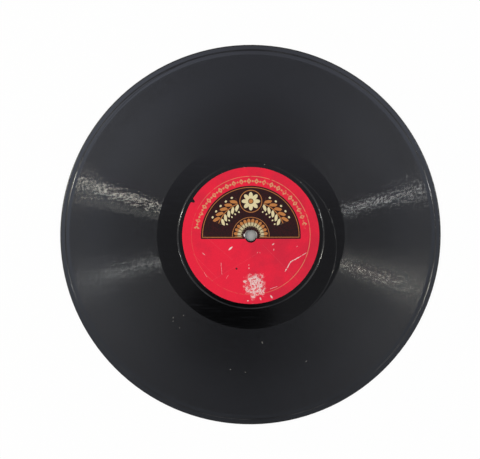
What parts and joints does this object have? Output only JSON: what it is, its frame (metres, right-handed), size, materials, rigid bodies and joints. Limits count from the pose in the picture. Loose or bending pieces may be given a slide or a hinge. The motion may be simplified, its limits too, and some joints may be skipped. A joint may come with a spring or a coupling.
{
  "type": "shellac record",
  "caption": "Flat black disc record of laminated build with a grooved face on each side, a run-out groove, red paper labels and a central spindle hole.",
  "frame": {"origin": "the spindle axis, on the plane that the disc lies on", "axes": "+Z along the spindle axis out of side A, +Y towards the top of the label on side A"},
  "size_m": [0.25, 0.25, 0.0022],
  "materials": {
    "core_compound": "coarse filled compound",
    "kraft_paper": "kraft paper",
    "shellac": "polished shellac",
    "label_paper": "printed uncoated paper"
  },
  "bodies": {
    "root": {"core": "core_compound", "core_paper_a": "kraft_paper", "core_paper_b": "kraft_paper", "facing_a": "shellac", "facing_b": "shellac", "label_a": "label_paper", "label_b": "label_paper"}
  },
  "joints": []
}
